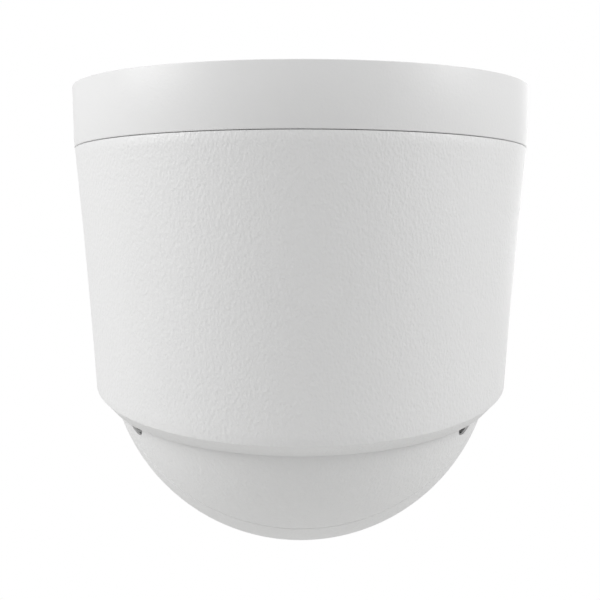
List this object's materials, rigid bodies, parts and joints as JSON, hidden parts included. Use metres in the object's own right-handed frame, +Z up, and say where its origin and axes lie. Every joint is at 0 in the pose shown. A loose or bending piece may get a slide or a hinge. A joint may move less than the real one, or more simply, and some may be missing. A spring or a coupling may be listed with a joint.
{
  "type": "ptz camera",
  "caption": "Ceiling-mounted pan, tilt and zoom camera: a fixed base, a turning can with a yoke, and a ball that carries a window, infrared lights and a zoom lens.",
  "frame": {"origin": "centre of the face that meets the ceiling, on the pan axis", "axes": "+Z up into the ceiling along the pan axis, lens towards -Y at rest, tilt axis along X"},
  "size_m": [0.2, 0.2, 0.198],
  "materials": {
    "white_cast": "white powder coat",
    "white_shell": "fine moulded grain",
    "zinc_steel": "zinc plated",
    "bright_steel": "ground",
    "black_rubber": "matt",
    "black_plastic": "fine moulded grain",
    "dark_plastic": "satin",
    "nylon": "natural, unfilled",
    "circuit_board": "solder resist",
    "motor_black": "black oxide",
    "alloy": "bead blasted",
    "black_alloy": "black anodised",
    "window_glass": "anti-reflection coated",
    "lens_glass": "multi-coated",
    "clear_optic": "moulded acrylic",
    "led": "silicone on ceramic",
    "brass": "machined"
  },
  "bodies": {
    "base": {"mount_plate": "zinc_steel", "cable_grommet": "black_rubber", "base_housing": "white_cast", "connector_board": "circuit_board", "ethernet_jack": "bright_steel", "terminal_block": "nylon", "slip_ring_rotor": "dark_plastic", "pan_bearing_outer": "bright_steel", "bearing_retainer": "zinc_steel", "fixed_pan_pulley": "nylon"},
    "pan": {"pan_hub": "alloy", "pan_bearing_inner": "bright_steel", "pan_bearing_balls": "bright_steel", "hub_nut": "zinc_steel", "slip_ring_body": "dark_plastic", "pan_deck": "alloy", "deck_screws": "bright_steel", "pan_housing": "white_shell", "yoke_arm_right": "zinc_steel", "yoke_arm_left": "zinc_steel", "trunnion_right": "bright_steel", "trunnion_left": "bright_steel", "tilt_sun_gear": "nylon", "head_board": "circuit_board", "pan_motor_body": "motor_black", "pan_belt": "black_rubber"},
    "tilt": {"ball_front_shell": "white_shell", "ball_rear_shell": "white_shell", "ball_gaskets": "black_rubber", "cover_screws": "bright_steel", "front_window": "window_glass", "window_bezel": "black_plastic", "side_cap_right": "white_shell", "side_cap_left": "white_shell", "tilt_bushes": "brass", "shaft_seals": "black_rubber", "ir_boards": "circuit_board", "ir_leds": "led", "ir_optics": "clear_optic", "ir_heatsink": "black_alloy", "lens_baffle": "black_rubber", "block_housing": "dark_plastic", "lens_barrel": "black_alloy", "front_lens": "lens_glass", "guide_rods": "bright_steel", "lens_motors": "motor_black", "sensor_board": "circuit_board", "camera_board": "circuit_board", "lens_chassis": "alloy", "tilt_motor_body": "motor_black"},
    "pan_motor_rotor": {"pan_motor_rotor": "bright_steel"},
    "tilt_motor_rotor": {"tilt_motor_rotor": "bright_steel"},
    "zoom_group": {"zoom_carriage": "dark_plastic", "zoom_lens": "lens_glass"},
    "focus_group": {"focus_carriage": "dark_plastic", "focus_lens": "lens_glass"},
    "zoom_screw": {"zoom_screw": "bright_steel"},
    "iris_upper": {"iris_blade_upper": "black_plastic"},
    "iris_lower": {"iris_blade_lower": "black_plastic"},
    "filter_slide": {"filter_slide": "dark_plastic"}
  },
  "joints": [
    {"name": "pan", "type": "hinge", "parent": "base", "child": "pan", "pos_m": [0, 0, 0], "axis": [0, 0, 1], "continuous": true},
    {"name": "pan_motor_spin", "type": "hinge", "parent": "pan", "child": "pan_motor_rotor", "pos_m": [0, 0.0765, -0.03], "axis": [0, 0, 1], "continuous": true},
    {"name": "tilt", "type": "hinge", "parent": "pan", "child": "tilt", "pos_m": [0, 0, -0.114], "axis": [1, 0, 0], "range_deg": [-32, 68]},
    {"name": "tilt_motor_spin", "type": "hinge", "parent": "tilt", "child": "tilt_motor_rotor", "pos_m": [0, 0.0252, -0.10581], "axis": [1, 0, 0], "range_deg": [-101, 213]},
    {"name": "zoom", "type": "slide", "parent": "tilt", "child": "zoom_group", "axis": [0, 0.9272, 0.3746], "range_m": [0, 0.018]},
    {"name": "zoom_screw_spin", "type": "hinge", "parent": "tilt", "child": "zoom_screw", "pos_m": [-0.019, -0.00449, -0.10287], "axis": [0, 0.9272, 0.3746], "range_deg": [0, 2161]},
    {"name": "focus", "type": "slide", "parent": "tilt", "child": "focus_group", "axis": [0, 0.9272, 0.3746], "range_m": [-0.0025, 0.0025]},
    {"name": "iris_upper", "type": "slide", "parent": "tilt", "child": "iris_upper", "axis": [0, -0.3746, 0.9272], "range_m": [-0.005, 0]},
    {"name": "iris_lower", "type": "slide", "parent": "tilt", "child": "iris_lower", "axis": [0, -0.3746, 0.9272], "range_m": [0, 0.005]},
    {"name": "filter_change", "type": "slide", "parent": "tilt", "child": "filter_slide", "axis": [0, -0.3746, 0.9272], "range_m": [-0.012, 0]}
  ],
  "couplings": [
    {"joint": "pan_motor_spin", "follows": "pan", "ratio": -6.9},
    {"joint": "tilt_motor_spin", "follows": "tilt", "ratio": 3.125},
    {"joint": "zoom_screw_spin", "follows": "zoom", "rad_per_m": 2094.4},
    {"joint": "iris_lower", "follows": "iris_upper", "ratio": -1}
  ]
}
